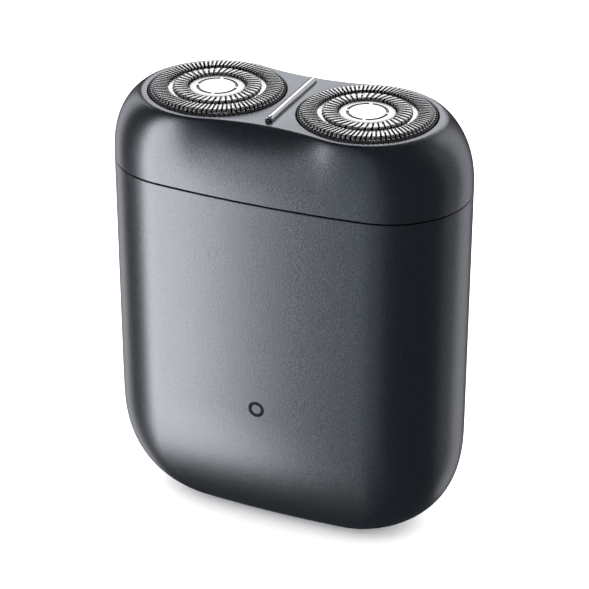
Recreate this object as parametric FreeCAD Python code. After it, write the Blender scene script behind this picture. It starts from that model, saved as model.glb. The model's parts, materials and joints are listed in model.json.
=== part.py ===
"""Pocket rotary shaver with two shaving heads, as an assembly of separate pieces.

Frame: millimetres, +Z up, origin at the centre of the flat base, X along the width,
-Y at the front. Every piece is written to parts/NODE.step.
"""
import FreeCAD, Part
import math
import os

V = FreeCAD.Vector
X_AXIS, Y_AXIS, Z_AXIS = V(1, 0, 0), V(0, 1, 0), V(0, 0, 1)
OUT = "parts"

# ---- driving dimensions ------------------------------------------------------------------
HALF_W, HALF_D = 31.5, 15.0          # plan half width and half depth of the casing
END_SHARE = 0.944                    # radius of the rounded ends, as a share of the half depth
SEAM_Z, DECK_Z, CREST_Z = 64.8, 77.2, 78.0   # seam, top deck, crest of the shaving caps
SEAM_GAP = 0.2
PITCH = 27.0                         # distance between the two head axes
SHELL_WALL, HEAD_WALL, DECK_WALL = 1.6, 1.2, 1.3

CORNER_W, CORNER_H, CORNER_N = 20.8, 19.9, 2.5   # bottom corners seen from the front
BASE_D, BASE_H, BASE_N = 10.1, 25.3, 2.0         # rounding towards the base seen from the side
DECK_R, WAIST = 12.7, 10.9           # deck outline: lobe radius and half depth at the waist
RISE_N, RISE_M = 2.59, 1.32          # how fast the casing closes in towards the deck

OPEN_R = 11.8                        # head openings in the deck
TILT_Z = 74.7                        # height of the axis that a cap carrier rocks about

GEAR_MODULE, PINION_TEETH, GEAR_TEETH = 0.5, 12, 42
PRESSURE_ANGLE = math.radians(25)
ADDENDUM, DEDENDUM, THINNING = 0.8, 1.1, 0.045   # in modules, and mm off each tooth
GEAR_Z, GEAR_H = 58.2, 2.0

INDICATOR_Z, BUTTON_Z = 26.3, 40.0
SIDES = (("left", -PITCH / 2), ("right", PITCH / 2))


# ---- outlines ----------------------------------------------------------------------------
def hit_oval(direction, half_w, half_d, end_r):
    """Distance from the centre to an oval of four tangent arcs, along a direction."""
    dx, dy = abs(direction[0]), abs(direction[1])
    centre = half_w - end_r
    side_r = (centre**2 + half_d**2 - end_r**2) / (2 * (half_d - end_r))
    drop = side_r - half_d
    reach = -drop * dy + math.sqrt((drop * dy) ** 2 + side_r**2 - drop**2)
    tangent_x = side_r * centre / math.hypot(centre, drop)
    if reach * dx <= tangent_x:
        return reach
    return centre * dx + math.sqrt(end_r**2 - (centre * dy) ** 2)


def hit_peanut(direction, lobe_r, waist):
    """Distance from the centre to two lobes joined by a hollow arc each side."""
    dx, dy = abs(direction[0]), abs(direction[1])
    lobe_x = PITCH / 2
    hollow_r = (lobe_x**2 + waist**2 - lobe_r**2) / (2 * (lobe_r - waist))
    hollow_y = waist + hollow_r
    tangent_x = lobe_x * hollow_r / (hollow_r + lobe_r)
    inside = (hollow_y * dy) ** 2 - hollow_y**2 + hollow_r**2
    if inside > 0:
        reach = hollow_y * dy - math.sqrt(inside)
        if 0 < reach and reach * dx <= tangent_x:
            return reach
    return lobe_x * dx + math.sqrt(max(lobe_r**2 - (lobe_x * dy) ** 2, 0.0))


def inset_share(u, power, root=None):
    """0 at u = 1 and 1 at u = 0, along a superellipse."""
    u = min(max(u, 0.0), 1.0)
    return 1 - (1 - (1 - u) ** power) ** (1 / (root or power))


def smooth_wire(points):
    curve = Part.BSplineCurve()
    curve.interpolate(Points=points, PeriodicFlag=True)
    return Part.Wire([curve.toShape()])


def body_outline(z, inset=0.0, points=56):
    """Plan outline of the lower casing at a height, moved inward by inset."""
    half_w = HALF_W - inset - (CORNER_W - inset) * inset_share((z - inset) / (CORNER_H - inset), CORNER_N)
    half_d = HALF_D - inset - (BASE_D - inset) * inset_share((z - inset) / (BASE_H - inset), BASE_N)
    end_r = END_SHARE * half_d
    ring = []
    for i in range(points):
        angle = 2 * math.pi * (i + 0.5) / points
        direction = (half_w * math.cos(angle), half_d * math.sin(angle))
        length = math.hypot(*direction)
        direction = (direction[0] / length, direction[1] / length)
        reach = hit_oval(direction, half_w, half_d, end_r)
        ring.append(V(reach * direction[0], reach * direction[1], z))
    return smooth_wire(ring)


def head_outline(z, inset=0.0, points=72):
    """Plan outline of the head casing: an oval at the seam that turns into the deck's peanut."""
    t = min((z - SEAM_Z) / (DECK_Z - SEAM_Z), 1.0)
    share = inset_share(1 - max(t, 0.0), RISE_N, RISE_M)
    half_w, half_d = HALF_W - inset, HALF_D - inset
    ring = []
    for i in range(points):
        angle = 2 * math.pi * (i + 0.5) / points
        direction = (half_w * math.cos(angle), half_d * math.sin(angle))
        length = math.hypot(*direction)
        direction = (direction[0] / length, direction[1] / length)
        wide = hit_oval(direction, half_w, half_d, END_SHARE * half_d)
        narrow = hit_peanut(direction, DECK_R - inset, WAIST - inset)
        reach = wide + (narrow - wide) * share
        ring.append(V(reach * direction[0], reach * direction[1], z))
    return smooth_wire(ring)


def slab(wire, height):
    return Part.Face(wire).extrude(V(0, 0, height))


def body_plate(z, height, inset):
    """Flat plate that follows the straight upper part of the casing."""
    wire = body_outline(DECK_Z, inset)
    wire.translate(V(0, 0, z - DECK_Z))
    return slab(wire, height)


# ---- small shapes ------------------------------------------------------------------------
def box(x0, x1, y0, y1, z0, z1):
    return Part.makeBox(x1 - x0, y1 - y0, z1 - z0, V(x0, y0, z0))


def rod(radius, z0, z1, x=0.0, y=0.0):
    return Part.makeCylinder(radius, z1 - z0, V(x, y, z0), Z_AXIS)


def rod_y(radius, y0, y1, x, z):
    return Part.makeCylinder(radius, y1 - y0, V(x, y0, z), Y_AXIS)


def rod_x(radius, x0, x1, y, z):
    return Part.makeCylinder(radius, x1 - x0, V(x0, y, z), X_AXIS)


def tube(outer, inner, z0, z1, x=0.0, y=0.0):
    return rod(outer, z0, z1, x, y).cut(rod(inner, z0, z1, x, y))


def stadium(half_x, half_y, z0, z1):
    """Slot-shaped bar along Z: half_x to the ends of its rounds, half_y to its flats."""
    middle = box(-(half_x - half_y), half_x - half_y, -half_y, half_y, z0, z1)
    ends = [rod(half_y, z0, z1, s * (half_x - half_y)) for s in (-1, 1)]
    return middle.fuse(ends).removeSplitter()


def prism(sides, across_flats, z0, z1, x=0.0, turn=0.0):
    radius = across_flats / 2 / math.cos(math.pi / sides)
    angles = [turn + 2 * math.pi * i / sides for i in range(sides + 1)]
    ring = [V(x + radius * math.cos(a), radius * math.sin(a), z0) for a in angles]
    return slab(Part.makePolygon(ring), z1 - z0)


def lathe(points):
    """Solid turned about Z from a closed outline of (radius, height) points."""
    ring = [V(r, 0, z) for r, z in points]
    return Part.Face(Part.makePolygon(ring + ring[:1])).revolve(V(0, 0, 0), Z_AXIS, 360)


def screw(x, y, tip_z, seat_z, shank=0.8, head=1.45, head_h=1.0, up=1):
    """Pan-head screw. It points down from seat_z when up is 1, and up when up is -1."""
    body = rod(shank, min(tip_z, seat_z), max(tip_z, seat_z), x, y)
    top = seat_z + up * head_h
    cap = rod(head, min(seat_z, top), max(seat_z, top), x, y)
    slot_low = min(top, top - up * 0.4)
    slots = [box(x - 0.9, x + 0.9, y - 0.15, y + 0.15, slot_low, slot_low + 0.4),
             box(x - 0.15, x + 0.15, y - 0.9, y + 0.9, slot_low, slot_low + 0.4)]
    return body.fuse(cap).cut(Part.makeCompound(slots))


def at(shape, x):
    moved = shape.copy()
    moved.translate(V(x, 0, 0))
    return moved


def solid_of(shape):
    shape = shape.removeSplitter()
    solids = shape.Solids
    return solids[0] if len(solids) == 1 else Part.makeCompound(solids)


PARTS = {}


def keep(name, shape):
    PARTS[name] = solid_of(shape)


# ---- casing ------------------------------------------------------------------------------
def lower_heights(start, top, count):
    return [start + (top - start) * (i / count) ** 2 for i in range(count + 1)]


def make_body_shell():
    """Cup-shaped casing with a rounded base, open at the top."""
    top = SEAM_Z - SEAM_GAP / 2
    outer = Part.makeLoft([body_outline(z) for z in lower_heights(0, BASE_H, 12)], True, False)
    outer = outer.fuse(slab(body_outline(BASE_H), top - BASE_H))
    floor = SHELL_WALL
    inner = Part.makeLoft([body_outline(z, floor) for z in lower_heights(floor, BASE_H, 12)], True, False)
    inner = inner.fuse(slab(body_outline(BASE_H, floor), top - BASE_H + 1))
    shell = outer.cut(inner)
    shell = shell.cut(stadium(USB_HALF_X + 0.25, USB_HALF_Y + 0.25, -1, floor + 3))
    shell = shell.cut(rod_y(RING_R + 0.01, -HALF_D - 1, -HALF_D + SHELL_WALL + 1, 0, INDICATOR_Z))
    shell = shell.cut(rod_y(BUTTON_R + 0.2, HALF_D - SHELL_WALL - 1, HALF_D + 1, 0, BUTTON_Z))
    keep("body_shell", shell)


def make_head_shell():
    """Head casing: oval at the seam, peanut-shaped deck with two openings, screw bosses inside."""
    base = SEAM_Z + SEAM_GAP / 2
    count = 12
    heights = [base + (DECK_Z - base) * math.sin(math.pi / 2 * i / count) for i in range(count + 1)]
    outer = Part.makeLoft([head_outline(z) for z in heights], True, False)
    roof = DECK_Z - DECK_WALL
    heights = [base + (roof - base) * math.sin(math.pi / 2 * i / count) for i in range(count + 1)]
    inner = Part.makeLoft([head_outline(z, HEAD_WALL) for z in heights], True, False)
    below = head_outline(base, HEAD_WALL)
    below.translate(V(0, 0, -1))
    shell = outer.cut(inner).cut(slab(below, 1.001))
    for _, x in SIDES:
        shell = shell.cut(rod(OPEN_R, roof - 1, DECK_Z + 1, x))
    for y in FRAME_SCREW_Y:
        boss = rod(2.0, FRAME_TOP, roof + 0.2, 0, y)
        shell = shell.fuse(boss).cut(rod(0.8, FRAME_TOP - 1, roof, 0, y))
    groove = rod_y(BAR_R + 0.06, -BAR_HALF - 0.1, BAR_HALF + 0.1, 0, BAR_Z)
    keep("head_shell", shell.cut(groove))


BAR_R, BAR_HALF, BAR_Z = 0.65, 9.2, DECK_Z + 0.22


def make_trim_bar():
    """Polished bar between the heads, with a small dimple turned into each end."""
    bar = rod_y(BAR_R, -BAR_HALF, BAR_HALF, 0, BAR_Z)
    ends = [e for e in bar.Edges if e.Curve.TypeId == "Part::GeomCircle"]
    bar = bar.makeChamfer(0.12, ends)
    for y in (-BAR_HALF, BAR_HALF - 0.3):
        bar = bar.cut(rod_y(0.3, y, y + 0.3, 0, BAR_Z))
    keep("trim_bar", bar)


# ---- shaving heads -----------------------------------------------------------------------
CAP_R, CAP_FLANGE_R, CAP_FOOT, CAP_SKIN = 11.15, 11.7, 73.85, 0.35
OUTER_SLOTS, INNER_SLOTS = 84, 42
DISC_R, DISC_GROOVE = 4.68, (3.12, 3.42)
GROOVE_DROP, SEAT_DROP, DISC_DROP = 0.6, 0.75, 0.3   # levels under the crest


def cap_blank():
    """Pressed cap with two raised tracks, a groove between them and a seat for the disc."""
    crest, skin, foot = CREST_Z, CAP_SKIN, CAP_FOOT
    groove, seat = crest - GROOVE_DROP, crest - SEAT_DROP
    top = [(0, seat), (4.75, seat), (4.82, crest - 0.22), (5.05, crest), (7.1, crest),
           (7.42, crest - 0.25), (7.5, groove), (8.4, groove), (8.48, crest - 0.25), (8.75, crest)]
    shoulder_r = 0.85
    bend = [(CAP_R - shoulder_r + shoulder_r * math.sin(a), crest - shoulder_r + shoulder_r * math.cos(a))
            for a in (math.radians(d) for d in (0, 30, 60, 90))]
    side = [(CAP_R, foot + 0.5), (CAP_FLANGE_R, foot + 0.5), (CAP_FLANGE_R, foot), (CAP_R - skin, foot)]
    under = crest - skin
    inside = [(CAP_R - skin, crest - 0.8), (10.4, under), (8.98, under), (8.8, groove - skin),
              (7.2, groove - skin), (7.0, under), (5.3, under), (5.15, seat - skin), (0, seat - skin)]
    return lathe(top + bend + side + inside)


def slots(count, r0, r1, width, low, slant_deg):
    """Ring of slots, each turned by slant_deg about its own middle."""
    found = []
    middle = (r0 + r1) / 2
    for i in range(count):
        cutter = box(-(r1 - r0) / 2, (r1 - r0) / 2, -width / 2, width / 2, low, CREST_Z + 1)
        cutter.rotate(V(0, 0, 0), Z_AXIS, slant_deg)
        cutter.translate(V(middle, 0, 0))
        cutter.rotate(V(0, 0, 0), Z_AXIS, 360 * i / count)
        found.append(cutter)
    return found


def make_caps():
    cuts = slots(OUTER_SLOTS, 8.85, 11.5, 0.36, CREST_Z - 0.7, -7)
    cuts += slots(INNER_SLOTS, 5.35, 7.6, 0.3, CREST_Z - 0.5, -12)
    cap = cap_blank().cut(Part.makeCompound(cuts))
    disc = rod(DISC_R, CREST_Z - SEAT_DROP, CREST_Z - DISC_DROP)
    groove = tube(DISC_GROOVE[1], DISC_GROOVE[0], CREST_Z - DISC_DROP - 0.12, CREST_Z)
    for i in range(4):
        gap = box(0, 4, -0.28, 0.28, CREST_Z - 1, CREST_Z + 1)
        gap.rotate(V(0, 0, 0), Z_AXIS, 15 + 90 * i)
        groove = groove.cut(gap)
    disc = disc.cut(groove)
    for side, x in SIDES:
        keep("shaving_cap_" + side, at(cap, x))
        keep("cap_disc_" + side, at(disc, x))


CARRIER_R, CARRIER_BORE, CARRIER_FLANGE_R = 11.5, 11.25, 12.0
PIN_R, PIN_X0, PIN_X1 = 0.7, 11.6, 13.25   # pins that a carrier rocks on


def make_carriers():
    """Ring that carries a cap and rocks on two pins along X."""
    ring = tube(CARRIER_R, CARRIER_BORE, TILT_Z, DECK_Z + 0.15)
    flange = tube(CARRIER_FLANGE_R, CARRIER_BORE, TILT_Z - 0.3, TILT_Z + 0.3)
    pins = rod_x(PIN_R, PIN_X0, PIN_X1, 0, TILT_Z).fuse(rod_x(PIN_R, -PIN_X1, -PIN_X0, 0, TILT_Z))
    pads = box(11.3, CARRIER_FLANGE_R, -1.2, 1.2, TILT_Z - 0.7, TILT_Z + 0.7)
    pads = pads.fuse(box(-CARRIER_FLANGE_R, -11.3, -1.2, 1.2, TILT_Z - 0.7, TILT_Z + 0.7))
    carrier = ring.fuse([flange, pads, pins]).cut(rod(CARRIER_BORE, TILT_Z - 0.36, TILT_Z + 3))
    carrier = carrier.cut(tube(CAP_FLANGE_R + 0.12, 11.0, TILT_Z - 1.5, TILT_Z - 0.3))
    for side, x in SIDES:
        keep("cap_carrier_" + side, at(carrier, x))


def blade_ring(count, r0, r1, low, high, thick, rake_deg):
    """Upright cutter blades, each raked about its own middle."""
    found = []
    for i in range(count):
        blade = box(-(r1 - r0) / 2, (r1 - r0) / 2, -thick / 2, thick / 2, low, high)
        blade.rotate(V(0, 0, (low + high) / 2), Z_AXIS, rake_deg)
        blade.translate(V((r0 + r1) / 2, 0, 0))
        blade.rotate(V(0, 0, 0), Z_AXIS, 360 * i / count)
        found.append(blade)
    return found


SOCKET_TOP = 74.95                   # ceiling of the hub's square socket, clear of a tilted drive head


def make_cutters():
    plate_z, plate_top, tip = 75.7, 76.05, CREST_Z - 0.42
    plate = tube(10.3, 1.0, plate_z, plate_top)
    for i in range(6):
        window = box(3.4, 8.4, -1.1, 1.1, plate_z - 1, plate_top + 1)
        window.rotate(V(0, 0, 0), Z_AXIS, 30 + 60 * i)
        plate = plate.cut(window)
    blades = blade_ring(15, 9.05, 10.2, plate_z, tip, 0.4, 25)
    blades += blade_ring(9, 5.5, 6.85, plate_z, tip, 0.4, 25)
    steel = plate.fuse(blades)
    hub = rod(3.4, 71.4, plate_z).fuse(rod(4.6, plate_z - 0.6, plate_z)).fuse(rod(1.0, plate_z, 76.4))
    hub = hub.cut(prism(4, 3.8, 71.3, SOCKET_TOP, turn=math.pi / 4))
    for side, x in SIDES:
        keep("cutter_blades_" + side, at(steel, x))
        keep("cutter_hub_" + side, at(hub, x))


# ---- head unit's inside ------------------------------------------------------------------
FRAME_LOW, FRAME_TOP = 70.8, 72.0
FRAME_SCREW_Y = (-6.2, 6.2)
MAGNET = (4.0, 1.2, 1.6)             # half length, half depth, height
MAGNET_Y = 10.2


def make_retaining_frame():
    """Plate under the heads, with bearing eyes for the carriers and legs for the magnets."""
    plate = slab(head_outline(FRAME_TOP, HEAD_WALL + 0.35), FRAME_TOP - FRAME_LOW)
    plate.translate(V(0, 0, FRAME_LOW - FRAME_TOP))
    for _, x in SIDES:
        plate = plate.cut(rod(10.9, FRAME_LOW - 1, FRAME_TOP + 1, x))
    for x0, x1 in ((-26.9, -25.9), (-1.1, 1.1), (25.9, 26.9)):
        plate = plate.fuse(box(x0, x1, -1.6, 1.6, FRAME_LOW, TILT_Z + 0.8))
        plate = plate.cut(rod_x(0.78, x0 - 0.1, x1 + 0.1, 0, TILT_Z))
        plate = plate.cut(box(x0 - 0.1, x1 + 0.1, -0.6, 0.6, TILT_Z, TILT_Z + 1))
    for s in (-1, 1):
        y0, y1 = sorted((s * (MAGNET_Y - 1.7), s * (MAGNET_Y + 1.5)))
        leg = box(-4.6, 4.6, y0, y1, SEAM_Z + 0.25, FRAME_LOW + 0.1)
        pocket = box(-MAGNET[0], MAGNET[0], s * MAGNET_Y - MAGNET[1], s * MAGNET_Y + MAGNET[1],
                     SEAM_Z, SEAM_Z + 0.25 + MAGNET[2])
        plate = plate.fuse(leg).cut(pocket)
    for y in FRAME_SCREW_Y:
        plate = plate.cut(rod(0.85, FRAME_LOW - 1, FRAME_TOP + 1, 0, y))
    keep("retaining_frame", plate)


def make_magnets():
    half_x, half_y, tall = MAGNET
    for name, z in (("head_magnets", SEAM_Z + 0.25), ("body_magnets", LID_TOP - tall)):
        blocks = [box(-half_x, half_x, s * MAGNET_Y - half_y, s * MAGNET_Y + half_y, z, z + tall)
                  for s in (-1, 1)]
        keep(name, Part.makeCompound(blocks))


def make_frame_screws():
    screws = [screw(0, y, FRAME_TOP + 3.2, FRAME_LOW, up=-1) for y in FRAME_SCREW_Y]
    keep("frame_screws", Part.makeCompound(screws))


# ---- drive -------------------------------------------------------------------------------
LID_LOW, LID_TOP = 61.4, 64.6
COLLAR_TOP = 67.6
TUBE_R, HEX_BORE, HEX_SHAFT = 2.6, 3.2, 3.0
SPRING_Z0, SPRING_Z1 = 60.8, 64.0
PLATE_Z0, PLATE_Z1 = 55.6, 57.6


def involute_wire(teeth, z, turn):
    """Closed outline of a spur gear: involute flanks, arcs at tips and roots."""
    pitch_r = GEAR_MODULE * teeth / 2
    base_r = pitch_r * math.cos(PRESSURE_ANGLE)
    tip_r, root_r = pitch_r + ADDENDUM * GEAR_MODULE, pitch_r - DEDENDUM * GEAR_MODULE
    start_r = max(base_r, root_r) + 0.001
    half_pitch = math.pi / (2 * teeth) - THINNING / (2 * pitch_r)

    def half_angle(r):
        a = math.acos(min(base_r / r, 1.0))
        return half_pitch + (math.tan(PRESSURE_ANGLE) - PRESSURE_ANGLE) - (math.tan(a) - a)

    def polar(r, a):
        return V(r * math.cos(a), r * math.sin(a), z)

    radii = [start_r + (tip_r - start_r) * i / 4 for i in range(5)]
    edges = []
    for i in range(teeth):
        mid = turn + 2 * math.pi * i / teeth
        nxt = turn + 2 * math.pi * (i + 1) / teeth
        up = Part.BSplineCurve()
        up.interpolate([polar(r, mid - half_angle(r)) for r in radii])
        down = Part.BSplineCurve()
        down.interpolate([polar(r, mid + half_angle(r)) for r in reversed(radii)])
        foot = half_angle(start_r)
        tip = half_angle(tip_r)
        edges += [Part.makeLine(polar(root_r, mid - foot), polar(start_r, mid - foot)), up.toShape(),
                  Part.Arc(polar(tip_r, mid - tip), polar(tip_r, mid), polar(tip_r, mid + tip)).toShape(),
                  down.toShape(), Part.makeLine(polar(start_r, mid + foot), polar(root_r, mid + foot)),
                  Part.Arc(polar(root_r, mid + foot), polar(root_r, (mid + nxt) / 2),
                           polar(root_r, nxt - foot)).toShape()]
    return Part.Wire(Part.__sortEdges__(edges))


def make_gears():
    """Drive gears with hexagonal sleeves, half a tooth out of step so that they mesh at rest."""
    gear = slab(involute_wire(GEAR_TEETH, GEAR_Z, math.pi / GEAR_TEETH), GEAR_H)
    gear = gear.cut(tube(8.6, 3.9, GEAR_Z + 1.2, GEAR_Z + GEAR_H + 1))
    for i in range(6):
        hole = rod(1.3, GEAR_Z - 1, GEAR_Z + 3, 6.2)
        hole.rotate(V(0, 0, 0), Z_AXIS, 60 * i)
        gear = gear.cut(hole)
    gear = gear.fuse(rod(TUBE_R, GEAR_Z, COLLAR_TOP + 0.9))
    gear = gear.cut(prism(6, HEX_BORE, SPRING_Z0, COLLAR_TOP + 2)).cut(rod(0.64, GEAR_Z - 1, 70))
    for side, x in SIDES:
        keep("drive_gear_" + side, at(gear, x))
        keep("gear_axle_" + side, at(rod(0.6, PLATE_Z0 + 0.2, 66.4), x))
    pinion = slab(involute_wire(PINION_TEETH, GEAR_Z - 0.1, 0.0), GEAR_H + 0.3)
    keep("pinion", pinion.cut(rod(1.0, GEAR_Z - 1, GEAR_Z + 4)))


def make_spindles():
    """Sprung hexagonal drive shafts with a square head that turns the cutter."""
    shaft = prism(6, HEX_SHAFT, SPRING_Z1, 70.2).fuse(rod(1.35, 70.2, 72.5))
    head = prism(4, 3.4, 72.4, 74.6, turn=math.pi / 4)
    crown = Part.makeCone(3.1, 1.7, 2.2, V(0, 0, 72.4), Z_AXIS)
    shaft = shaft.fuse(head.common(crown)).cut(rod(0.8, SPRING_Z1 - 1, 67.6))
    for side, x in SIDES:
        keep("spindle_" + side, at(shaft, x))


def make_springs():
    """Coil springs that push the spindles up."""
    wire_r, coil_r, turns = 0.17, 1.12, 6
    low, high = SPRING_Z0 + wire_r + 0.02, SPRING_Z1 - wire_r - 0.02
    path = Part.makeHelix((high - low) / turns, high - low, coil_r)
    circle = Part.Wire([Part.makeCircle(wire_r, V(coil_r, 0, 0), Y_AXIS)])
    coil = Part.Wire(path).makePipeShell([circle], True, True)
    coil.translate(V(0, 0, low))
    for side, x in SIDES:
        keep("spindle_spring_" + side, at(coil, x))


MOTOR_LOW = 30.6


def make_motor():
    """Small brushed motor with flat sides: can, end cap, magnets, rotor."""
    low, top, flat = MOTOR_LOW, PLATE_Z0, 7.7
    flats = box(-11, 11, -flat, flat, low, top)
    can = rod(10.2, low, top).common(flats)
    hollow = rod(9.4, low - 1, top - 0.8).common(box(-11, 11, -flat + 0.8, flat - 0.8, low - 1, top))
    can = can.cut(hollow).fuse(tube(3.0, 1.05, top, top + 1.2)).cut(rod(1.05, low, top + 2))
    keep("motor_can", can)
    end = rod(9.3, low, low + 1.6).common(box(-11, 11, -flat + 0.9, flat - 0.9, low, top))
    end = end.fuse(rod(3.2, low - 1.0, low)).cut(rod(1.05, low - 0.6, low + 2))
    keep("motor_end_cap", end)
    magnets = []
    for s in (-1, 1):
        sector = rod(9.4, 34.0, 50.0).cut(rod(7.2, 34.0, 50.0))
        magnets.append(sector.common(box(min(s * 4.5, s * 11), max(s * 4.5, s * 11), -6.9, 6.9, 33, 51)))
    keep("stator_magnets", Part.makeCompound(magnets))
    keep("motor_shaft", rod(1.0, low - 0.5, GEAR_Z + GEAR_H + 0.6))
    core = tube(6.5, 1.0, 35.0, 49.0)
    for i in range(3):
        slot = box(3.0, 7, -0.8, 0.8, 34, 50)
        slot.rotate(V(0, 0, 0), Z_AXIS, 60 + 120 * i)
        core = core.cut(slot)
    keep("armature", core.fuse(tube(2.4, 1.0, 33.2, 35.0)))
    screws = [screw(x, 0, top - 1.6, PLATE_Z1 - 0.9, 0.7, 1.3, 0.7) for x in MOTOR_SCREW_X]
    keep("motor_screws", Part.makeCompound(screws))
    PARTS["motor_can"] = solid_of(PARTS["motor_can"].cut(
        Part.makeCompound([rod(0.7, top - 1.6, top + 1, x) for x in MOTOR_SCREW_X])))


MOTOR_SCREW_X = (-6.0, 6.0)
DECK_SCREW_X, DECK_SCREW_Y = 24.8, 6.6
DECK_SCREWS = [(sx * DECK_SCREW_X, sy * DECK_SCREW_Y) for sx in (-1, 1) for sy in (-1, 1)]


def make_gearbox_base():
    """Plate that the motor, the gear axles and the lid are fixed to."""
    plate = body_plate(PLATE_Z0, PLATE_Z1 - PLATE_Z0, SHELL_WALL + 0.3)
    plate = plate.cut(rod(3.05, PLATE_Z0 - 1, PLATE_Z1 + 1))
    for x in MOTOR_SCREW_X:
        plate = plate.cut(rod(0.75, PLATE_Z0 - 1, PLATE_Z1 + 1, x)).cut(rod(1.4, PLATE_Z1 - 0.9, 60, x))
    for _, x in SIDES:
        plate = plate.cut(rod(0.6, PLATE_Z0 + 0.2, PLATE_Z1 + 1, x))
    for x, y in DECK_SCREWS:
        plate = plate.cut(rod(0.9, PLATE_Z0 - 1, PLATE_Z1 + 1, x, y))
    keep("gearbox_base", plate)


def make_gear_lid():
    """Lid over the gears and top of the lower half, with spindle collars and a rim."""
    lid = body_plate(LID_LOW, LID_TOP - LID_LOW, SHELL_WALL + 0.12)
    wall = body_plate(PLATE_Z1, LID_LOW - PLATE_Z1, SHELL_WALL + 0.12)
    wall = wall.cut(body_plate(PLATE_Z1, LID_LOW - PLATE_Z1, SHELL_WALL + 1.1))
    rim = body_plate(LID_TOP, 2.0, RIM_INSET).cut(body_plate(LID_TOP, 2.0, RIM_INSET + 1.1))
    lid = lid.fuse([wall, rim])
    lid = lid.cut(body_plate(RIM_GROOVE_Z, 1.0, RIM_INSET - 1).cut(
        body_plate(RIM_GROOVE_Z, 1.0, RIM_INSET + 0.45)))
    for x, y in DECK_SCREWS:
        lid = lid.fuse(rod(1.8, PLATE_Z1, LID_LOW, x, y))
        lid = lid.cut(rod(0.85, PLATE_Z1 - 1, LID_TOP + 1, x, y)).cut(rod(1.6, LID_TOP - 1.2, 70, x, y))
    for _, x in SIDES:
        lid = lid.fuse(rod(4.2, LID_TOP, COLLAR_TOP, x)).cut(rod(TUBE_R + 0.25, 60, 70, x))
        lid = lid.cut(rod(3.5, COLLAR_TOP - 1.3, 70, x))
    half_x, half_y, tall = MAGNET
    for s in (-1, 1):
        lid = lid.cut(box(-half_x, half_x, s * MAGNET_Y - half_y, s * MAGNET_Y + half_y,
                          LID_TOP - tall, LID_TOP + 1))
    keep("gear_lid", lid)


RIM_INSET, RIM_GROOVE_Z = HEAD_WALL + 0.55, LID_TOP + 0.7


def make_seals():
    ring = body_plate(RIM_GROOVE_Z, 1.0, HEAD_WALL + 0.25).cut(
        body_plate(RIM_GROOVE_Z, 1.0, RIM_INSET + 0.45))
    keep("head_gasket", ring)
    lip = lathe([(TUBE_R + 0.12, COLLAR_TOP - 0.9), (TUBE_R + 0.3, COLLAR_TOP - 1.3),
                 (3.5, COLLAR_TOP - 1.3), (3.5, COLLAR_TOP), (3.1, COLLAR_TOP), (3.1, COLLAR_TOP - 0.6),
                 (TUBE_R + 0.12, COLLAR_TOP - 0.6)])
    for side, x in SIDES:
        keep("shaft_seal_" + side, at(lip, x))


def make_lid_screws():
    screws = [screw(x, y, 50.5, LID_TOP - 1.2) for x, y in DECK_SCREWS]
    keep("lid_screws", Part.makeCompound(screws))


# ---- power -------------------------------------------------------------------------------
USB_HALF_X, USB_HALF_Y = 4.47, 1.63
CELL_X, CELL_R, CELL_Z0, CELL_Z1 = -18.2, 7.0, 10.8, 53.4
BOARD_Y0, BOARD_Y1 = 8.4, 9.4
RING_R, BUTTON_R = 1.45, 4.4
SHELF_Z0, SHELF_Z1, TOP_SHELF = 9.4, 10.6, 53.8
RIB_X = 10.75
CRADLE_Z = (20, 26)                  # band round the battery cell


def make_chassis():
    """Inner frame: two shelves, two upright ribs and the bosses that the lid screws bite into."""
    low = slab(body_outline(SHELF_Z0, SHELL_WALL + 0.45), SHELF_Z1 - SHELF_Z0)
    low = low.cut(box(-40, 40, BOARD_Y0 - 0.25, 40, 0, 60))
    top = body_plate(TOP_SHELF, PLATE_Z0 - TOP_SHELF, SHELL_WALL + 0.45)
    ribs = [box(s * RIB_X - 0.35, s * RIB_X + 0.35, -9.5, BOARD_Y0 - 0.25, SHELF_Z0, TOP_SHELF + 0.1)
            for s in (-1, 1)]
    bosses = [rod(1.7, 50.0, TOP_SHELF + 0.1, x, y) for x, y in DECK_SCREWS]
    shelf = low.fuse([top] + ribs + bosses)
    shelf = shelf.cut(rod(10.35, TOP_SHELF - 1, 60).common(box(-10.35, 10.35, -7.85, 7.85, 50, 60)))
    for x, y in DECK_SCREWS:
        shelf = shelf.cut(rod(0.8, 50.5, 60, x, y))
    near_side = box(-40, CELL_X, -20, BOARD_Y0 - 0.3, 0, 60)
    cradle = tube(CELL_R + 1.2, CELL_R + 0.2, *CRADLE_Z, CELL_X).common(near_side)
    arm = box(CELL_X - 2, -RIB_X, -CELL_R - 1.2, -CELL_R - 0.2, *CRADLE_Z)
    keep("chassis", shelf.fuse([cradle, arm]))


def make_battery():
    cell = rod(CELL_R, CELL_Z0, CELL_Z1 - 0.8, CELL_X)
    cell = cell.fuse(rod(2.6, CELL_Z1 - 0.8, CELL_Z1 - 0.2, CELL_X))
    keep("battery_cell", cell)
    plus = box(CELL_X - 2, CELL_X + 2, -2, BOARD_Y0, CELL_Z1 - 0.2, CELL_Z1)
    plus = plus.fuse(box(CELL_X - 2, CELL_X + 2, BOARD_Y0 - 0.2, BOARD_Y0, CELL_Z1 - 3, CELL_Z1))
    minus = box(CELL_X - 2, CELL_X + 2, -2, BOARD_Y0 - 0.25, SHELF_Z1, CELL_Z0)
    minus = minus.fuse(box(CELL_X - 2, CELL_X + 2, BOARD_Y0 - 0.45, BOARD_Y0 - 0.25, SHELF_Z1, SHELF_Z1 + 3))
    keep("battery_tabs", Part.makeCompound([plus, minus]))


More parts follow.
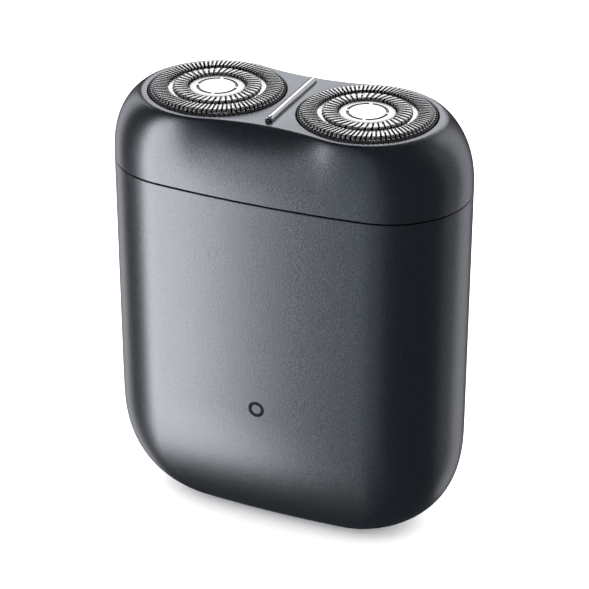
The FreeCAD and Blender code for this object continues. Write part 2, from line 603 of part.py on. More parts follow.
def make_boards():
    keep("main_board", box(-20.5, 18, BOARD_Y0, BOARD_Y1, 8.8, 52.0).cut(
        box(-21, -17, BOARD_Y0 - 1, BOARD_Y1 + 1, 8, 16)))
    keep("charge_board", box(-8.5, 8.5, -5.0, BOARD_Y1, 7.8, 8.8))
    chips = [box(10.5, 15.5, BOARD_Y1, BOARD_Y1 + 1.0, 20, 25)]
    chips.append(box(-8, -5, BOARD_Y1, BOARD_Y1 + 0.9, 24, 28))
    chips.append(box(12, 14.5, BOARD_Y1, BOARD_Y1 + 1.6, 34, 36.5))
    chips.append(box(-15, -11, BOARD_Y1, BOARD_Y1 + 0.8, 40, 42))
    chips += [box(x, x + 1.0, BOARD_Y1, BOARD_Y1 + 0.5, z, z + 0.6) for x in (4, 6, 8) for z in (18, 30, 46)]
    keep("board_components", Part.makeCompound(chips))


def make_usb():
    """Charging socket: steel shell with a contact tongue inside, open through the base."""
    shell = stadium(USB_HALF_X, USB_HALF_Y, 0.9, 7.8)
    shell = shell.cut(stadium(USB_HALF_X - 0.3, USB_HALF_Y - 0.3, 0, 6.6))
    keep("usb_shell", shell)
    keep("usb_tongue", box(-3.35, 3.35, -0.35, 0.35, 1.7, 6.6))


def make_switch():
    body = box(-3, 3, BOARD_Y1, 11.4, BUTTON_Z - 3, BUTTON_Z + 3)
    keep("tact_switch", body.cut(rod_y(1.35, 10.0, 12, 0, BUTTON_Z)))
    keep("switch_plunger", rod_y(1.2, 10.7, 12.0, 0, BUTTON_Z))
    cap = rod_y(BUTTON_R, 12.6, HALF_D, 0, BUTTON_Z)
    rim = [e for e in cap.Edges if e.Curve.TypeId == "Part::GeomCircle" and e.CenterOfMass.y > HALF_D - 0.1]
    cap = cap.makeFillet(0.3, rim)
    cap = cap.fuse(rod_y(BUTTON_R + 0.8, 12.6, 13.15, 0, BUTTON_Z)).fuse(rod_y(1.3, 12.05, 12.7, 0, BUTTON_Z))
    keep("power_button", cap)


def make_indicator():
    """Ring-shaped light window in the front, its centre dot, light guide and lamp."""
    front = -HALF_D
    ring = rod_y(RING_R, front, front + 2.2, 0, INDICATOR_Z)
    keep("indicator_ring", ring.cut(rod_y(0.9, front - 1, front + 1.2, 0, INDICATOR_Z)))
    keep("indicator_centre", rod_y(0.9, front, front + 1.2, 0, INDICATOR_Z))
    keep("light_guide", rod_y(1.2, front + 2.2, BOARD_Y0 - 0.7, 0, INDICATOR_Z))
    keep("status_lamp", box(-0.8, 0.8, BOARD_Y0 - 0.6, BOARD_Y0, INDICATOR_Z - 0.4, INDICATOR_Z + 0.4))


def main():
    os.makedirs(OUT, exist_ok=True)
    for make in (make_body_shell, make_head_shell, make_trim_bar, make_caps, make_carriers, make_cutters,
                 make_retaining_frame, make_magnets, make_frame_screws, make_gears, make_spindles,
                 make_springs, make_motor, make_gearbox_base, make_gear_lid, make_seals, make_lid_screws,
                 make_chassis, make_battery, make_boards, make_usb, make_switch, make_indicator):
        make()
    for name, shape in PARTS.items():
        shape.exportStep(os.path.join(OUT, name + ".step"))
        print(f"{name}: {len(shape.Solids)} solid(s), {shape.Volume:.1f} mm3, valid {shape.isValid()}")


main()
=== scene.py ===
"""Looks of the compact rotary shaver: casing, shaving heads, drive and light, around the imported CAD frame.

Shapes are worked out in millimetres, in the frame's own axes, and written to Blender in metres.
"""
import json
import math

import bpy
import numpy as np
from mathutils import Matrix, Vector


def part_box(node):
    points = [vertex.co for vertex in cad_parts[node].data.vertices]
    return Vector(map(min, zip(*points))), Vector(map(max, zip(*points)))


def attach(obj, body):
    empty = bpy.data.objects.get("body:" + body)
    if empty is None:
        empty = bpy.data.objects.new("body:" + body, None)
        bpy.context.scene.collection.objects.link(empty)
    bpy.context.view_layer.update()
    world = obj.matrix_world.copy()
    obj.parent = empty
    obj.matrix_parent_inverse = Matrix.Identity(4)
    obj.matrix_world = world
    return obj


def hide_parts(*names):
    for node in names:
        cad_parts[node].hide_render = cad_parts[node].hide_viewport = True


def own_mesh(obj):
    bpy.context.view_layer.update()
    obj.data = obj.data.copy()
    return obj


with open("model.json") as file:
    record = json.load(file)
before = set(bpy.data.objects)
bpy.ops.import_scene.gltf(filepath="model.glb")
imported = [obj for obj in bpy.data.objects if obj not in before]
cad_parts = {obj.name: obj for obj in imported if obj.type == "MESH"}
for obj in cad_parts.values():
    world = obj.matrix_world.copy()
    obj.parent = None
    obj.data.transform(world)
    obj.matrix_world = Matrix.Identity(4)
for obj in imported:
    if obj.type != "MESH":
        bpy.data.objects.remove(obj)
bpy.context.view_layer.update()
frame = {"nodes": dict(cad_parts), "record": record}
NODES = frame["nodes"]
MM = 0.001


def span(node):
    """Lowest and highest corner of a CAD node, in millimetres."""
    low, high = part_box(node)
    return np.array(low) / MM, np.array(high) / MM


# ---- sizes, from the frame ---------------------------------------------------------------
_, BODY_HIGH = span("body_shell")
HEAD_LOW, HEAD_HIGH = span("head_shell")
CAP_LOW, CAP_HIGH = span("shaving_cap_right")
BAR_LOW, BAR_HIGH = span("trim_bar")
RING_LOW, RING_HIGH = span("indicator_ring")
BUTTON_LOW, BUTTON_HIGH = span("power_button")
_, USB_HIGH = span("usb_shell")

HALF_W, HALF_D = 31.5, 15.0
BODY_TOP, HEAD_FOOT = BODY_HIGH[2], HEAD_LOW[2]
SEAM_Z = (BODY_TOP + HEAD_FOOT) / 2
DECK_Z, CREST_Z = HEAD_HIGH[2], CAP_HIGH[2]
PITCH = CAP_LOW[0] + CAP_HIGH[0]
HEADS = (("left", -PITCH / 2), ("right", PITCH / 2))

# the casing's outline, as the CAD has it
END_SHARE = 0.944
CORNER_W, CORNER_H, CORNER_N = 20.8, 19.9, 2.5      # lower corners, seen from the front
BASE_D, BASE_H, BASE_N = 10.1, 25.3, 2.0            # foot, seen from the side
DECK_R, WAIST = 12.7, 10.9          # lobes of the deck, and half its width between them
RISE_N, RISE_M = 2.59, 1.32         # curve from the seam to the deck
WALL, HEAD_WALL, DECK_WALL = 1.6, 1.2, 1.3
OPEN_R, LIP_R = 11.7, 0.12          # openings in the deck, and their rounded lips
EDGE_R, DECK_EDGE_R = 0.14, 0.3     # rounding of the seam's edges and of the deck's edge
DECK_INSET = 0.22                   # how far in the deck turns flat
SUPPORT = 0.03                      # distance of the extra ring that keeps a bend's shading tight
USB_GAP = 0.25                      # room round the charging inlet
AROUND = 240                        # points in each ring of the casing
FAR = HALF_D * 4                    # a level above every curve of the lower casing
BUTTON_R, BUTTON_EDGE, BUTTON_FLANGE = 4.4, 0.3, 0.8

# caps, discs and springs
OUTER_SLOTS, INNER_SLOTS = 84, 42
SLOT_HALF, SLOT_BEVEL, PLAIN_BEVEL, SLOT_DROP = 0.165, 0.105, 0.02, 0.05
OUTER_TWIST, INNER_TWIST = 10, 14   # slant of the slots, degrees
INNER_COLUMNS = (0.0, 0.12, 0.26, 0.38, 0.5, 0.62, 0.74, 0.88, 1.0)
OUTER_DROPS = (1, 1, 1, 0.28, 0, 0.28) * 2
INNER_DROPS = (1, 1, 1, 0.4, 0.14, 0, 0, 0, 0, 0, 0.14, 0.4)
TRACK_SPLIT = 7.9                   # radius that parts the inner track from the outer
INNER_MIDDLE, OUTER_MIDDLE, OUTER_END = 6.2, 9.9, 10.9   # radii
SKIN, SEAT = 0.35, -0.75            # thickness of a cap, and its floor's height under the crest
DISC_R, DISC_TOP, DISC_FOOT, DISC_EDGE_R = 4.68, -0.3, -0.74, 0.14
DISC_COLUMNS = 192
GROOVE = (3.0, 3.53)                # etched arcs in a disc
GAP_ANGLE, GAP_HALF, GAP_FADE = 12, 4.5, 1.9        # gaps between the arcs, degrees
WIRE_R, SPRING_TURNS, TURN_STEPS, WIRE_SIDES = 0.17, 6, 24, 10


# ---- outlines ----------------------------------------------------------------------------
def oval_reach(dx, dy, half_w, half_d):
    """Distance from the centre to an oval of four tangent arcs."""
    dx, dy = abs(dx), abs(dy)
    end_r = END_SHARE * half_d
    centre = half_w - end_r
    side_r = (centre**2 + half_d**2 - end_r**2) / (2 * (half_d - end_r))
    drop = side_r - half_d
    reach = -drop * dy + np.sqrt((drop * dy) ** 2 + side_r**2 - drop**2)
    tangent_x = side_r * centre / math.hypot(centre, drop)
    ends = centre * dx + np.sqrt(np.maximum(end_r**2 - (centre * dy) ** 2, 0))
    return np.where(reach * dx <= tangent_x, reach, ends)


def peanut_reach(dx, dy, lobe_r, waist):
    """Distance from the centre to two lobes joined by a hollow arc each side."""
    dx, dy = abs(dx), abs(dy)
    lobe_x = PITCH / 2
    hollow_r = (lobe_x**2 + waist**2 - lobe_r**2) / (2 * (lobe_r - waist))
    hollow_y = waist + hollow_r
    tangent_x = lobe_x * hollow_r / (hollow_r + lobe_r)
    inside = (hollow_y * dy) ** 2 - hollow_y**2 + hollow_r**2
    reach = hollow_y * dy - np.sqrt(np.maximum(inside, 0))
    lobes = lobe_x * dx + np.sqrt(np.maximum(lobe_r**2 - (lobe_x * dy) ** 2, 0))
    return np.where((inside > 0) & (reach > 0) & (reach * dx <= tangent_x), reach, lobes)


def inset_share(u, power, root=None):
    """Share of an inset left at u: all of it at 0, none at 1, along a superellipse."""
    u = min(max(u, 0.0), 1.0)
    return 1 - (1 - (1 - u) ** power) ** (1 / (root or power))


def directions(half_w, half_d):
    """Unit vectors in plan, spread evenly round an oval of these half sizes."""
    angle = 2 * np.pi * (np.arange(AROUND) + 0.5) / AROUND
    x, y = half_w * np.cos(angle), half_d * np.sin(angle)
    length = np.hypot(x, y)
    return x / length, y / length


def ring(reach, dx, dy, z):
    """Points at these distances from the axis, at the height z."""
    return np.stack([reach * dx, reach * dy, np.full(len(dx), z)], 1)


def body_ring(z, inset=0.0, level=None):
    """Plan outline of the lower casing at the height level, placed at z."""
    level = z if level is None else level
    corner = inset_share((level - inset) / (CORNER_H - inset), CORNER_N)
    base = inset_share((level - inset) / (BASE_H - inset), BASE_N)
    half_w = HALF_W - inset - (CORNER_W - inset) * corner
    half_d = HALF_D - inset - (BASE_D - inset) * base
    dx, dy = directions(half_w, half_d)
    return ring(oval_reach(dx, dy, half_w, half_d), dx, dy, z)


def head_ring(z, inset=0.0, level=None):
    """Outline of the head casing at the height level: oval at the seam, peanut at the deck."""
    t = ((z if level is None else level) - SEAM_Z) / (DECK_Z - SEAM_Z)
    share = inset_share(1 - min(max(t, 0.0), 1.0), RISE_N, RISE_M)
    half_w, half_d = HALF_W - inset, HALF_D - inset
    dx, dy = directions(half_w, half_d)
    wide = oval_reach(dx, dy, half_w, half_d)
    narrow = peanut_reach(dx, dy, DECK_R - inset, WAIST - inset)
    return ring(wide + (narrow - wide) * share, dx, dy, z)


def stadium_ring(half_x, half_y, z):
    """Outline of a slot with round ends."""
    dx, dy = directions(half_x, half_y)
    straight = half_x - half_y
    flat = half_y / np.maximum(abs(dy), 1e-9)
    round_end = straight * abs(dx) + np.sqrt(np.maximum(half_y**2 - (straight * dy) ** 2, 0))
    return ring(np.where(flat * abs(dx) <= straight, flat, round_end), dx, dy, z)


# ---- mesh building -----------------------------------------------------------------------
def raw_piece(name, points, faces):
    """A mesh object from points in mm."""
    mesh = bpy.data.meshes.new(name)
    mesh.from_pydata((np.asarray(points) * MM).tolist(), [], [list(map(int, f)) for f in faces])
    piece = bpy.data.objects.new(name, mesh)
    bpy.context.scene.collection.objects.link(piece)
    return piece


def make_piece(name, points, faces, body, material, nodes=(), sharp=35):
    """A mesh from points in mm that rides on a body and may stand for CAD nodes."""
    piece = raw_piece(name, points, faces)
    piece.data.validate()
    finish_piece(piece, body, material, nodes, sharp)
    return piece


def finish_piece(piece, body, material, nodes=(), sharp=35):
    """Gives a piece its material and shading, and the body it rides on."""
    mesh = piece.data
    mesh.materials.clear()
    mesh.materials.append(material)
    mesh.shade_smooth()
    mesh.set_sharp_from_angle(angle=math.radians(sharp))
    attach(piece, body)
    if nodes:
        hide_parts(*nodes)


def tube_faces(row_count, columns, wrap_rows=False, start=0):
    """Quads between rings of points, facing outward for rings that climb anticlockwise."""
    rows = np.arange(row_count if wrap_rows else row_count - 1)
    r, c = np.meshgrid(rows, np.arange(columns), indexing="ij")
    nr, nc = (r + 1) % row_count, (c + 1) % columns
    quads = np.stack([r * columns + c, r * columns + nc, nr * columns + nc, nr * columns + c], -1)
    return quads.reshape(-1, 4) + start


def lathe(profile, columns, axis="z", centre=(0, 0, 0)):
    """Points and faces of a turned solid. profile is (radius, height) pairs from the axis to the axis."""
    angle = 2 * np.pi * np.arange(columns) / columns
    across, along = np.cos(angle), np.sin(angle)
    rows = []
    for radius, height in profile[1:-1]:
        rows.append(np.stack([radius * across, radius * along, np.full(columns, height)], 1))
    points = np.concatenate(rows + [np.array([[0, 0, profile[0][1]], [0, 0, profile[-1][1]]])])
    count = len(rows)
    faces = [list(f) for f in tube_faces(count, columns)]
    low, high = count * columns, count * columns + 1
    last = (count - 1) * columns
    for c in range(columns):
        after = (c + 1) % columns
        faces.append([low, after, c])
        faces.append([high, last + c, last + after])
    if axis == "y":
        points = points[:, [0, 2, 1]] * np.array([-1, 1, 1])
    return points + np.array(centre), faces


def arc(centre, radius, start, end, steps):
    """Points of an arc in a profile, angles in degrees from the +radius direction."""
    angles = [math.radians(start + (end - start) * i / steps) for i in range(steps + 1)]
    return [(centre[0] + radius * math.cos(a), centre[1] + radius * math.sin(a)) for a in angles]


def cut(piece, points, faces):
    """Takes a closed shape out of a piece."""
    cutter = raw_piece("cutter", points, faces)
    change = piece.modifiers.new("cut", "BOOLEAN")
    change.operation, change.solver, change.object = "DIFFERENCE", "EXACT", cutter
    bpy.context.view_layer.update()
    evaluated = piece.evaluated_get(bpy.context.evaluated_depsgraph_get())
    result = bpy.data.meshes.new_from_object(evaluated)
    piece.modifiers.clear()
    piece.data = result
    bpy.data.objects.remove(cutter)


# ---- materials ---------------------------------------------------------------------------
class Shader:
    """Principled material with helpers for the few procedural patterns that are used."""

    def __init__(self, name, color, metallic=0.0, roughness=0.5, **sockets):
        self.material = bpy.data.materials.new(name)
        self.material.use_nodes = True
        self.tree = self.material.node_tree
        self.main = self.tree.nodes["Principled BSDF"]
        self.color = color
        self.main.inputs["Base Color"].default_value = (*color, 1)
        self.main.inputs["Metallic"].default_value = metallic
        self.main.inputs["Roughness"].default_value = roughness
        for socket, value in sockets.items():
            self.main.inputs[socket.replace("_", " ")].default_value = value
        self.coords = self.tree.nodes.new("ShaderNodeTexCoord").outputs["Object"]

    def node(self, kind, **settings):
        """A new node with its inputs or its own settings filled in."""
        made = self.tree.nodes.new(kind)
        for key, value in settings.items():
            if key in made.inputs:
                made.inputs[key].default_value = value
            else:
                setattr(made, key, value)
        return made

    def link(self, out, into):
        self.tree.links.new(out, into)

    def moved(self, location=(0, 0, 0), scale=(1, 1, 1)):
        """Object coordinates, scaled and then moved."""
        mapping = self.node("ShaderNodeMapping")
        mapping.inputs["Location"].default_value = location
        mapping.inputs["Scale"].default_value = scale
        self.link(self.coords, mapping.inputs["Vector"])
        return mapping.outputs["Vector"]

    def noise(self, size_mm, vector=None, detail=2.0, rough=0.5):
        """Noise whose features are about size_mm wide."""
        made = self.node("ShaderNodeTexNoise", Scale=1 / (size_mm * MM), Detail=detail, Roughness=rough)
        self.link(self.coords if vector is None else vector, made.inputs["Vector"])
        return made.outputs["Fac"]

    def ranged(self, value, low, high, from_low=0.3, from_high=0.7):
        """value, taken from one range to another."""
        made = self.node("ShaderNodeMapRange")
        made.inputs["From Min"].default_value = from_low
        made.inputs["From Max"].default_value = from_high
        made.inputs["To Min"].default_value = low
        made.inputs["To Max"].default_value = high
        self.link(value, made.inputs["Value"])
        return made.outputs["Result"]

    def tint(self, value, dark, light):
        """Base colour between dark and light times the material's own colour."""
        made = self.node("ShaderNodeMix", data_type="RGBA")
        made.inputs["A"].default_value = (*[c * dark for c in self.color], 1)
        made.inputs["B"].default_value = (*[min(c * light, 1) for c in self.color], 1)
        self.link(value, made.inputs["Factor"])
        self.link(made.outputs["Result"], self.main.inputs["Base Color"])
        return made

    def rough(self, value, low, high):
        """Roughness between low and high."""
        self.link(self.ranged(value, low, high), self.main.inputs["Roughness"])

    def bump(self, value, depth_mm, strength=1.0):
        """Relief of this depth."""
        made = self.node("ShaderNodeBump", Strength=strength, Distance=depth_mm * MM)
        self.link(value, made.inputs["Height"])
        self.link(made.outputs["Normal"], self.main.inputs["Normal"])
        return made


def shell_paint():
    """Satin metallic paint: fine flakes that glitter, over a faint orange peel."""
    s = Shader("shell_paint", (0.322, 0.332, 0.362), metallic=1.0, roughness=0.33)
    flakes = s.noise(0.22, detail=2.0)
    s.rough(flakes, 0.29, 0.37)
    s.tint(s.ranged(flakes, 0, 1), 0.82, 1.2)
    s.bump(s.noise(0.34, detail=2.0), 0.015, 1.0)
    return s.material


def steel(name, color, low, high, streak_mm=0.05):
    """Ground steel with very fine scratches."""
    s = Shader(name, color, metallic=1.0, roughness=low)
    scratches = s.noise(1.0, s.moved(scale=(1, 1, 1 / (streak_mm * 3))), detail=3.0)
    s.rough(scratches, low, high)
    s.tint(s.ranged(s.noise(1.7), 0, 1), 0.93, 1.03)
    s.bump(s.noise(streak_mm, detail=2.0), 0.0003, 0.15)
    return s.material


def cap_steel():
    """Ground steel with painted shade on its upright walls, in the slots and between the tracks: the colour
    darkens as a face turns from up to upright.
    """
    s = Shader("cap_steel", (0.76, 0.76, 0.765), metallic=0.94, roughness=0.23)
    scratches = s.noise(1.0, s.moved(scale=(1, 1, 6)), detail=3.0)
    s.rough(scratches, 0.19, 0.27)
    facing = s.node("ShaderNodeSeparateXYZ")
    s.link(s.tree.nodes.new("ShaderNodeTexCoord").outputs["Normal"], facing.inputs[0])
    # painted shade: the colour falls to a quarter where a face stands upright, in the slots, between the
    # tracks and round the foot
    s.tint(s.ranged(facing.outputs["Z"], 0, 1, 0.15, 0.75), 0.25, 1.0)
    s.bump(s.noise(0.05, detail=2.0), 0.0003, 0.15)
    return s.material


def turned_steel(name, color, low, high, centre_x):
    """Steel with concentric turning marks round a head's axis, and a painted highlight inside the groove
    that fades to painted shade towards the rim.
    """
    s = Shader(name, color, metallic=0.94, roughness=low)
    flat = s.moved((-centre_x * MM, 0, 0), (1, 1, 0))
    rings = s.node("ShaderNodeTexWave", wave_type="RINGS", rings_direction="Z", Scale=1 / (0.9 * MM),
                   Distortion=0.2, Detail=1.0)
    s.link(flat, rings.inputs["Vector"])
    s.rough(rings.outputs["Fac"], low, high)
    s.bump(rings.outputs["Fac"], 0.0002, 0.2)
    # painted highlight within 3.3 mm of the axis, fading to painted shade at 4.7 mm
    reach = s.node("ShaderNodeVectorMath", operation="LENGTH")
    s.link(flat, reach.inputs[0])
    s.tint(s.ranged(reach.outputs["Value"], 1, 0, 3.3 * MM, 4.7 * MM), 0.55, 1.05)
    return s.material


def chrome():
    """Polished plating."""
    s = Shader("chrome", (0.86, 0.86, 0.88), metallic=1.0, roughness=0.07)
    s.rough(s.noise(0.5, detail=4.0), 0.05, 0.11)
    s.tint(s.ranged(s.noise(1.1), 0, 1), 0.97, 1.02)
    return s.material


def plastic(name, color, low, high, grain_mm=0.12, depth_mm=0.004, **sockets):
    """Moulded plastic with spark-eroded texture."""
    s = Shader(name, color, roughness=low, **sockets)
    grain = s.noise(grain_mm, detail=2.0)
    s.rough(grain, low, high)
    s.tint(s.ranged(s.noise(2.5), 0, 1), 0.88, 1.12)
    s.bump(grain, depth_mm, 0.5)
    return s.material


def solder_mask():
    """Circuit board: green lacquer over raised copper tracks."""
    s = Shader("solder_mask", (0.012, 0.10, 0.045), roughness=0.3, Coat_Weight=0.4,
               Coat_Roughness=0.15)
    tracks = s.node("ShaderNodeTexBrick", Scale=1 / (4 * MM))
    s.link(s.moved(), tracks.inputs["Vector"])
    s.tint(tracks.outputs["Fac"], 1.0, 1.9)
    s.bump(tracks.outputs["Fac"], 0.02, 0.6)
    return s.material


def clear_plastic():
    """Clear moulded plastic of the light guide."""
    s = Shader("clear_plastic", (0.9, 0.94, 0.97), roughness=0.12, Transmission_Weight=0.9, IOR=1.49)
    s.rough(s.noise(0.6), 0.08, 0.2)
    return s.material


PAINT = shell_paint()
CHROME = chrome()
BLACK = plastic("black_plastic", (0.010, 0.010, 0.011), 0.42, 0.54, Specular_IOR_Level=0.35)
GLOSS_BLACK = plastic("gloss_black", (0.006, 0.006, 0.007), 0.12, 0.22, 0.8, 0.001)
FRAME_PLASTIC = plastic("frame_plastic", (0.035, 0.037, 0.042), 0.42, 0.56, 0.18, 0.006)
GEAR_PLASTIC = plastic("gear_plastic", (0.45, 0.44, 0.40), 0.28, 0.4, 0.3, 0.003, Subsurface_Weight=0.05)
RUBBER = plastic("seal_rubber", (0.02, 0.02, 0.02), 0.6, 0.75, 0.08, 0.004)
WRAP = plastic("battery_wrap", (0.03, 0.16, 0.10), 0.25, 0.36, 1.5, 0.01, Coat_Weight=0.3)
MAGNET = steel("magnet_nickel", (0.72, 0.70, 0.66), 0.18, 0.3)
FERRITE = plastic("magnet_dark", (0.05, 0.05, 0.05), 0.55, 0.7, 0.1, 0.006)
CAP_STEEL = cap_steel()
BLADE_STEEL = steel("blade_steel", (0.30, 0.30, 0.30), 0.22, 0.38)
ETCHED = steel("etched_steel", (0.56, 0.56, 0.57), 0.5, 0.6)
BRASS = steel("brass", (0.80, 0.60, 0.28), 0.2, 0.34)
BOARD = solder_mask()
CLEAR = clear_plastic()

SLOT_MATERIALS = {"shell_paint": PAINT, "cap_steel": CAP_STEEL, "disc_steel": CAP_STEEL, "chrome": CHROME,
                  "black_plastic": BLACK, "blade_steel": BLADE_STEEL, "magnet_nickel": MAGNET,
                  "magnet_dark": FERRITE, "frame_plastic": FRAME_PLASTIC, "gear_plastic": GEAR_PLASTIC,
                  "brass": BRASS, "seal_rubber": RUBBER, "battery_wrap": WRAP, "board_green": BOARD,
                  "clear_plastic": CLEAR}


def paint_cad_nodes():
    """Every CAD node gets the procedural material of its slot."""
    for part in frame["record"]["subparts"]:
        node = NODES[part["node"]]
        node.data.materials.clear()
        node.data.materials.append(SLOT_MATERIALS[part["material_slot"]])


# ---- casing ------------------------------------------------------------------------------
def quarter(steps):
    """(inward, upward) shares of a rounded edge, from vertical to flat."""
    angles = [math.pi / 2 * i / steps for i in range(1, steps + 1)]
    return [(1 - math.cos(a), math.sin(a)) for a in angles]


def make_body_shell():
    """Closed shell of rings: up the outside, over the rim, down the inside, out through the socket hole."""
    curve, upright, inner_curve, inner_upright = 44, 14, 16, 4
    rings = [body_ring(BASE_H * (i / curve) ** 2) for i in range(curve + 1)]
    straight = BODY_TOP - EDGE_R - BASE_H
    rings += [body_ring(BASE_H + straight * i / upright) for i in range(1, upright)]
    rings += [body_ring(BASE_H + straight - SUPPORT), body_ring(BASE_H + straight)]
    rings += [body_ring(BODY_TOP - EDGE_R * (1 - up), EDGE_R * along, FAR) for along, up in quarter(4)]
    rings.append(body_ring(BODY_TOP, WALL, FAR))
    for i in range(1, inner_upright + 1):
        rings.append(body_ring(BODY_TOP + (BASE_H - BODY_TOP) * i / inner_upright, WALL))
    for i in range(1, inner_curve + 1):
        rings.append(body_ring(WALL + (BASE_H - WALL) * (1 - i / inner_curve) ** 2, WALL))
    hole_x, hole_y = USB_HIGH[0] + USB_GAP, USB_HIGH[1] + USB_GAP
    for grown, z in ((0, WALL), (0, 0.2), (0.06, 0.06), (0.2, 0.0)):
        rings.append(stadium_ring(hole_x + grown, hole_y + grown, z))
    faces = tube_faces(len(rings), AROUND, wrap_rows=True)
    piece = raw_piece("casing_body", np.concatenate(rings), faces)
    ring_z = (RING_LOW[2] + RING_HIGH[2]) / 2
    window_r = (RING_HIGH[2] - RING_LOW[2]) / 2 + 0.02
    window = [(0, -20), (window_r, -20), (window_r, -10), (0, -10)]
    cut(piece, *lathe(window, 64, "y", (0, 0, ring_z)))
    button_z = (BUTTON_LOW[2] + BUTTON_HIGH[2]) / 2
    well_r, flare_r = BUTTON_R + 0.2, BUTTON_R + 0.55
    well = [(0, 10), (well_r, 10), (well_r, 14.6), (flare_r, 15.2), (0, 15.2)]
    cut(piece, *lathe(well, 96, "y", (0, 0, button_z)))
    finish_piece(piece, "body", PAINT, ["body_shell"])


def flat_deck(inset):
    """Outline of the flat deck, this far in from its edge."""
    dx, dy = directions(HALF_W, HALF_D)
    return ring(peanut_reach(dx, dy, DECK_R - inset, WAIST - inset), dx, dy, DECK_Z)


def head_rings():
    """Rings of the head casing: down its inside, round the foot, up its outside and onto the deck."""
    rings = [head_ring(HEAD_FOOT + EDGE_R * (1 - up), EDGE_R * along, SEAM_Z)
             for along, up in reversed(quarter(4))]
    count, roof_count, crest_count = 40, 16, 6
    height = DECK_Z - DECK_EDGE_R - HEAD_FOOT - EDGE_R
    sweep = math.pi / 2 * 0.965
    levels = [math.sin(sweep * i / count) / math.sin(sweep) for i in range(count + 1)]
    levels.insert(1, SUPPORT / height)
    rings += [head_ring(HEAD_FOOT + EDGE_R + height * level) for level in levels]
    edge, crest, deck = rings[-1], head_ring(DECK_Z), flat_deck(DECK_INSET)
    for i in range(1, crest_count):
        t = i / crest_count
        rings.append((1 - t) ** 2 * edge + 2 * t * (1 - t) * crest + t**2 * deck)
    rings += [deck, flat_deck(DECK_INSET + SUPPORT)]
    inner = []
    for i in range(roof_count + 1):
        rise = math.sin(math.pi / 2 * i / roof_count)
        inner.append(head_ring(HEAD_FOOT + (DECK_Z - DECK_WALL - HEAD_FOOT) * rise, HEAD_WALL))
    return list(reversed(inner)) + rings


def make_head_shell():
    """Head casing with a crisp deck edge, two openings with rounded lips and the bar's groove."""
    rings = head_rings()
    faces = [list(f) for f in tube_faces(len(rings), AROUND)]
    last = (len(rings) - 1) * AROUND
    faces.append([last + c for c in range(AROUND)])
    faces.append([c for c in reversed(range(AROUND))])
    piece = raw_piece("casing_head", np.concatenate(rings), faces)
    below, above = DECK_Z - DECK_WALL - 2, DECK_Z + 1
    lip = arc((OPEN_R + LIP_R, DECK_Z - LIP_R), LIP_R, 180, 90, 4)
    opening = [(0, below), (OPEN_R, below)] + lip + [(OPEN_R + LIP_R, above), (0, above)]
    for _, x in HEADS:
        cut(piece, *lathe(opening, 144, "z", (x, 0, 0)))
    bar_r = (BAR_HIGH[0] - BAR_LOW[0]) / 2 + 0.06
    bar_z = (BAR_HIGH[2] + BAR_LOW[2]) / 2
    y0, y1 = BAR_LOW[1] - 0.1, BAR_HIGH[1] + 0.1
    trough = [(0, y0), (bar_r, y0), (bar_r, y1), (0, y1)]
    cut(piece, *lathe(trough, 48, "y", (0, 0, bar_z)))
    finish_piece(piece, "head_unit", PAINT, ["head_shell"])


def make_trim_bar():
    """Polished bar with rounded ends and a dimple in each."""
    radius = (BAR_HIGH[0] - BAR_LOW[0]) / 2
    z = (BAR_HIGH[2] + BAR_LOW[2]) / 2
    y0, y1 = BAR_LOW[1], BAR_HIGH[1]
    soft, lengths = 0.16, 12
    near = [(0, y0 + 0.3), (0.28, y0 + 0.3), (0.3, y0 + 0.27), (0.3, y0 + 0.03), (0.33, y0)]
    near += arc((radius - soft, y0 + soft), soft, -90, 0, 5)
    middle = [(radius, y0 + (y1 - y0) * i / lengths) for i in range(1, lengths)]
    far = [(r, y0 + y1 - y) for r, y in reversed(near)]
    points, faces = lathe(near + middle + far, 64, "y", (0, 0, z))
    make_piece("bar_between_heads", points, faces, "head_unit", CHROME, ["trim_bar"])


def make_button():
    """Flush power button with a shallow dish."""
    z = (BUTTON_LOW[2] + BUTTON_HIGH[2]) / 2
    face, back = BUTTON_HIGH[1], BUTTON_LOW[1]
    stem_r, flange_r = 1.3, BUTTON_R + BUTTON_FLANGE
    flange_low, flange_top = back + 0.6, back + 1.1
    profile = [(0, back), (stem_r, back), (stem_r, flange_low), (flange_r, flange_low)]
    profile += [(flange_r, flange_top), (BUTTON_R, flange_top), (BUTTON_R, face - BUTTON_EDGE)]
    profile += arc((BUTTON_R - BUTTON_EDGE, face - BUTTON_EDGE), BUTTON_EDGE, 0, 90, 6)[1:]
    dish = ((BUTTON_R - 0.7, 0.02), (3.0, 0.16), (2.0, 0.25), (1.0, 0.3), (0, 0.31))
    profile += [(radius, face - depth) for radius, depth in dish]
    points, faces = lathe(profile, 96, "y", (0, 0, z))
    make_piece("button_cap", points, faces, "button", PAINT, ["power_button"])


def facing_front(turned):
    """A turned shape mirrored to face the front, with its faces still outward."""
    points, faces = turned
    return points * np.array([1, -1, 1]), [list(reversed(f)) for f in faces]


def make_indicator():
    """Black window ring flush with the front, round a centre in the casing's colour."""
    z = (RING_LOW[2] + RING_HIGH[2]) / 2
    front, back = -RING_LOW[1], -RING_HIGH[1]
    outer, inner, soft = (RING_HIGH[2] - RING_LOW[2]) / 2, 0.9, 0.05
    rear, flush = front - 1.2, front - 0.01
    window = [(0, rear), (inner, rear), (inner, front - soft), (inner + soft, flush),
              (outer - soft, flush), (outer, front - soft), (outer, back), (0, back)]
    points, faces = facing_front(lathe(window, 96, "y", (0, 0, z)))
    make_piece("indicator_window", points, faces, "body", GLOSS_BLACK,
               ["indicator_ring"])
    dot_r, dot_face = inner - 0.02, front - 0.02
    dot = [(0, rear), (dot_r, rear), (dot_r, front - 0.06), (inner - 0.06, dot_face), (0, dot_face)]
    points, faces = facing_front(lathe(dot, 64, "y", (0, 0, z)))
    make_piece("indicator_dot", points, faces, "body", PAINT, ["indicator_centre"])


